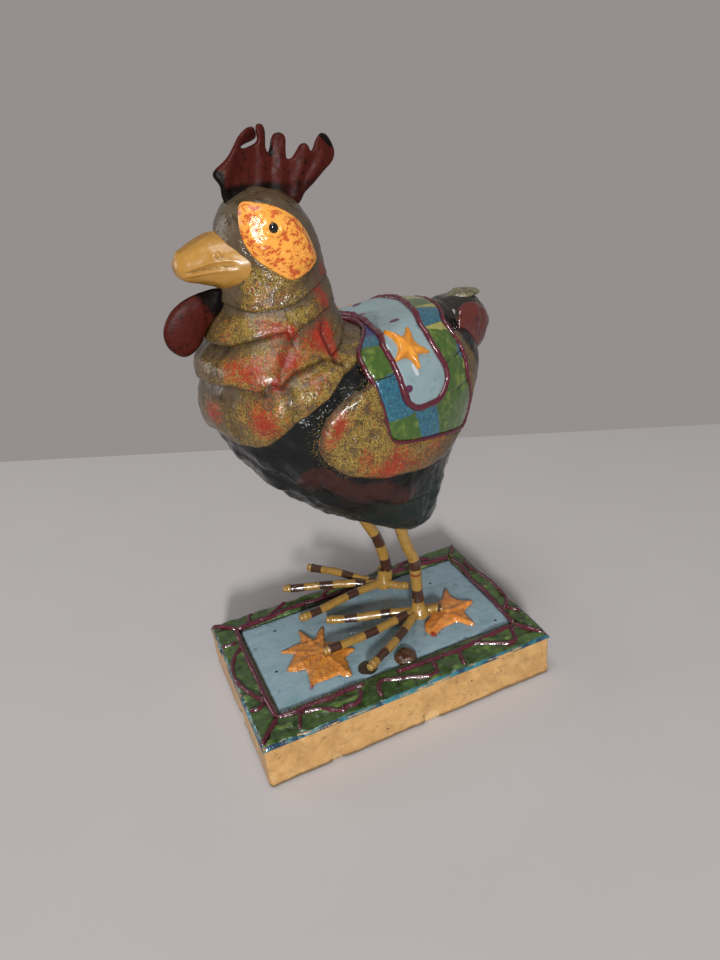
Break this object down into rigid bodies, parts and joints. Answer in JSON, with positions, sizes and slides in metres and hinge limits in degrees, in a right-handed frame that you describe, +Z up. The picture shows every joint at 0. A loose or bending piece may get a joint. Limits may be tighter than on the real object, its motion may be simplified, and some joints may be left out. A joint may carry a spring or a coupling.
{
  "type": "rooster figurine",
  "caption": "Painted and varnished rooster figurine with metal comb and wattles, a saddle blanket, and wire legs on a rectangular base with relief stars.",
  "frame": {"origin": "middle of the base underside, which is the mount base_underside", "axes": "+Z up, which is the longest extent; the rooster faces -Y along the base's long side, and its left side is +X"},
  "size_m": [0.0768, 0.1009, 0.1752],
  "materials": {
    "base_tan": "brushed-on tan over cream, worn satin",
    "panel_sky": "streaky grey-blue under varnish",
    "border_green": "mottled green under varnish",
    "vine_burgundy": "burgundy under varnish",
    "star_orange": "orange with brown shading under varnish",
    "mound_umber": "dark brown, high gloss",
    "wire_ochre": "ochre with dark brown bands, gloss",
    "feather_olive": "olive brown with gold and red speckle, high gloss",
    "body_bottle": "near-black green with dark red patches, high gloss",
    "beak_ochre": "ochre, gloss",
    "sheet_red": "dark oxblood red shaded black, gloss",
    "patch_orange": "orange-yellow mottled red, gloss",
    "bead_black": "black, high gloss",
    "saddle_green": "green and teal blocks, gloss",
    "saddle_sky": "pale grey-blue, gloss",
    "cord_burgundy": "burgundy, gloss",
    "tail_red": "oxblood red, gloss",
    "crest_cream": "cream over dark green, satin"
  },
  "bodies": {
    "root": {"base_block": "base_tan", "base_panel": "panel_sky", "border_left": "border_green", "vine_left": "vine_burgundy", "border_rear": "border_green", "vine_rear": "vine_burgundy", "border_right": "border_green", "vine_right": "vine_burgundy", "border_front": "border_green", "vine_front": "vine_burgundy", "star_front": "star_orange", "star_rear": "star_orange", "panel_mound": "mound_umber", "left_leg": "wire_ochre", "left_ankle": "wire_ochre", "left_toe_inner": "wire_ochre", "left_toe_middle": "wire_ochre", "left_toe_outer": "wire_ochre", "left_toe_rear": "wire_ochre", "right_leg": "wire_ochre", "right_ankle": "wire_ochre", "right_toe_outer": "wire_ochre", "right_toe_middle": "wire_ochre", "right_toe_inner": "wire_ochre", "right_toe_rear": "wire_ochre", "body": "body_bottle", "breast_band": "feather_olive", "collar_band": "feather_olive", "neck_band": "feather_olive", "head": "feather_olive", "comb": "sheet_red", "beak_upper": "beak_ochre", "beak_lower": "beak_ochre", "saddle_blanket": "saddle_green", "saddle_panel": "saddle_sky", "saddle_rope": "cord_burgundy", "saddle_cord": "cord_burgundy", "tail": "body_bottle", "tail_crest": "crest_cream", "wattle_left": "sheet_red", "eye_patch_left": "patch_orange", "eye_left": "bead_black", "wing_left": "feather_olive", "saddle_star_left": "star_orange", "tail_patch_left": "tail_red", "wattle_right": "sheet_red", "eye_patch_right": "patch_orange", "eye_right": "bead_black", "wing_right": "feather_olive", "saddle_star_right": "star_orange", "tail_patch_right": "tail_red"}
  },
  "joints": []
}
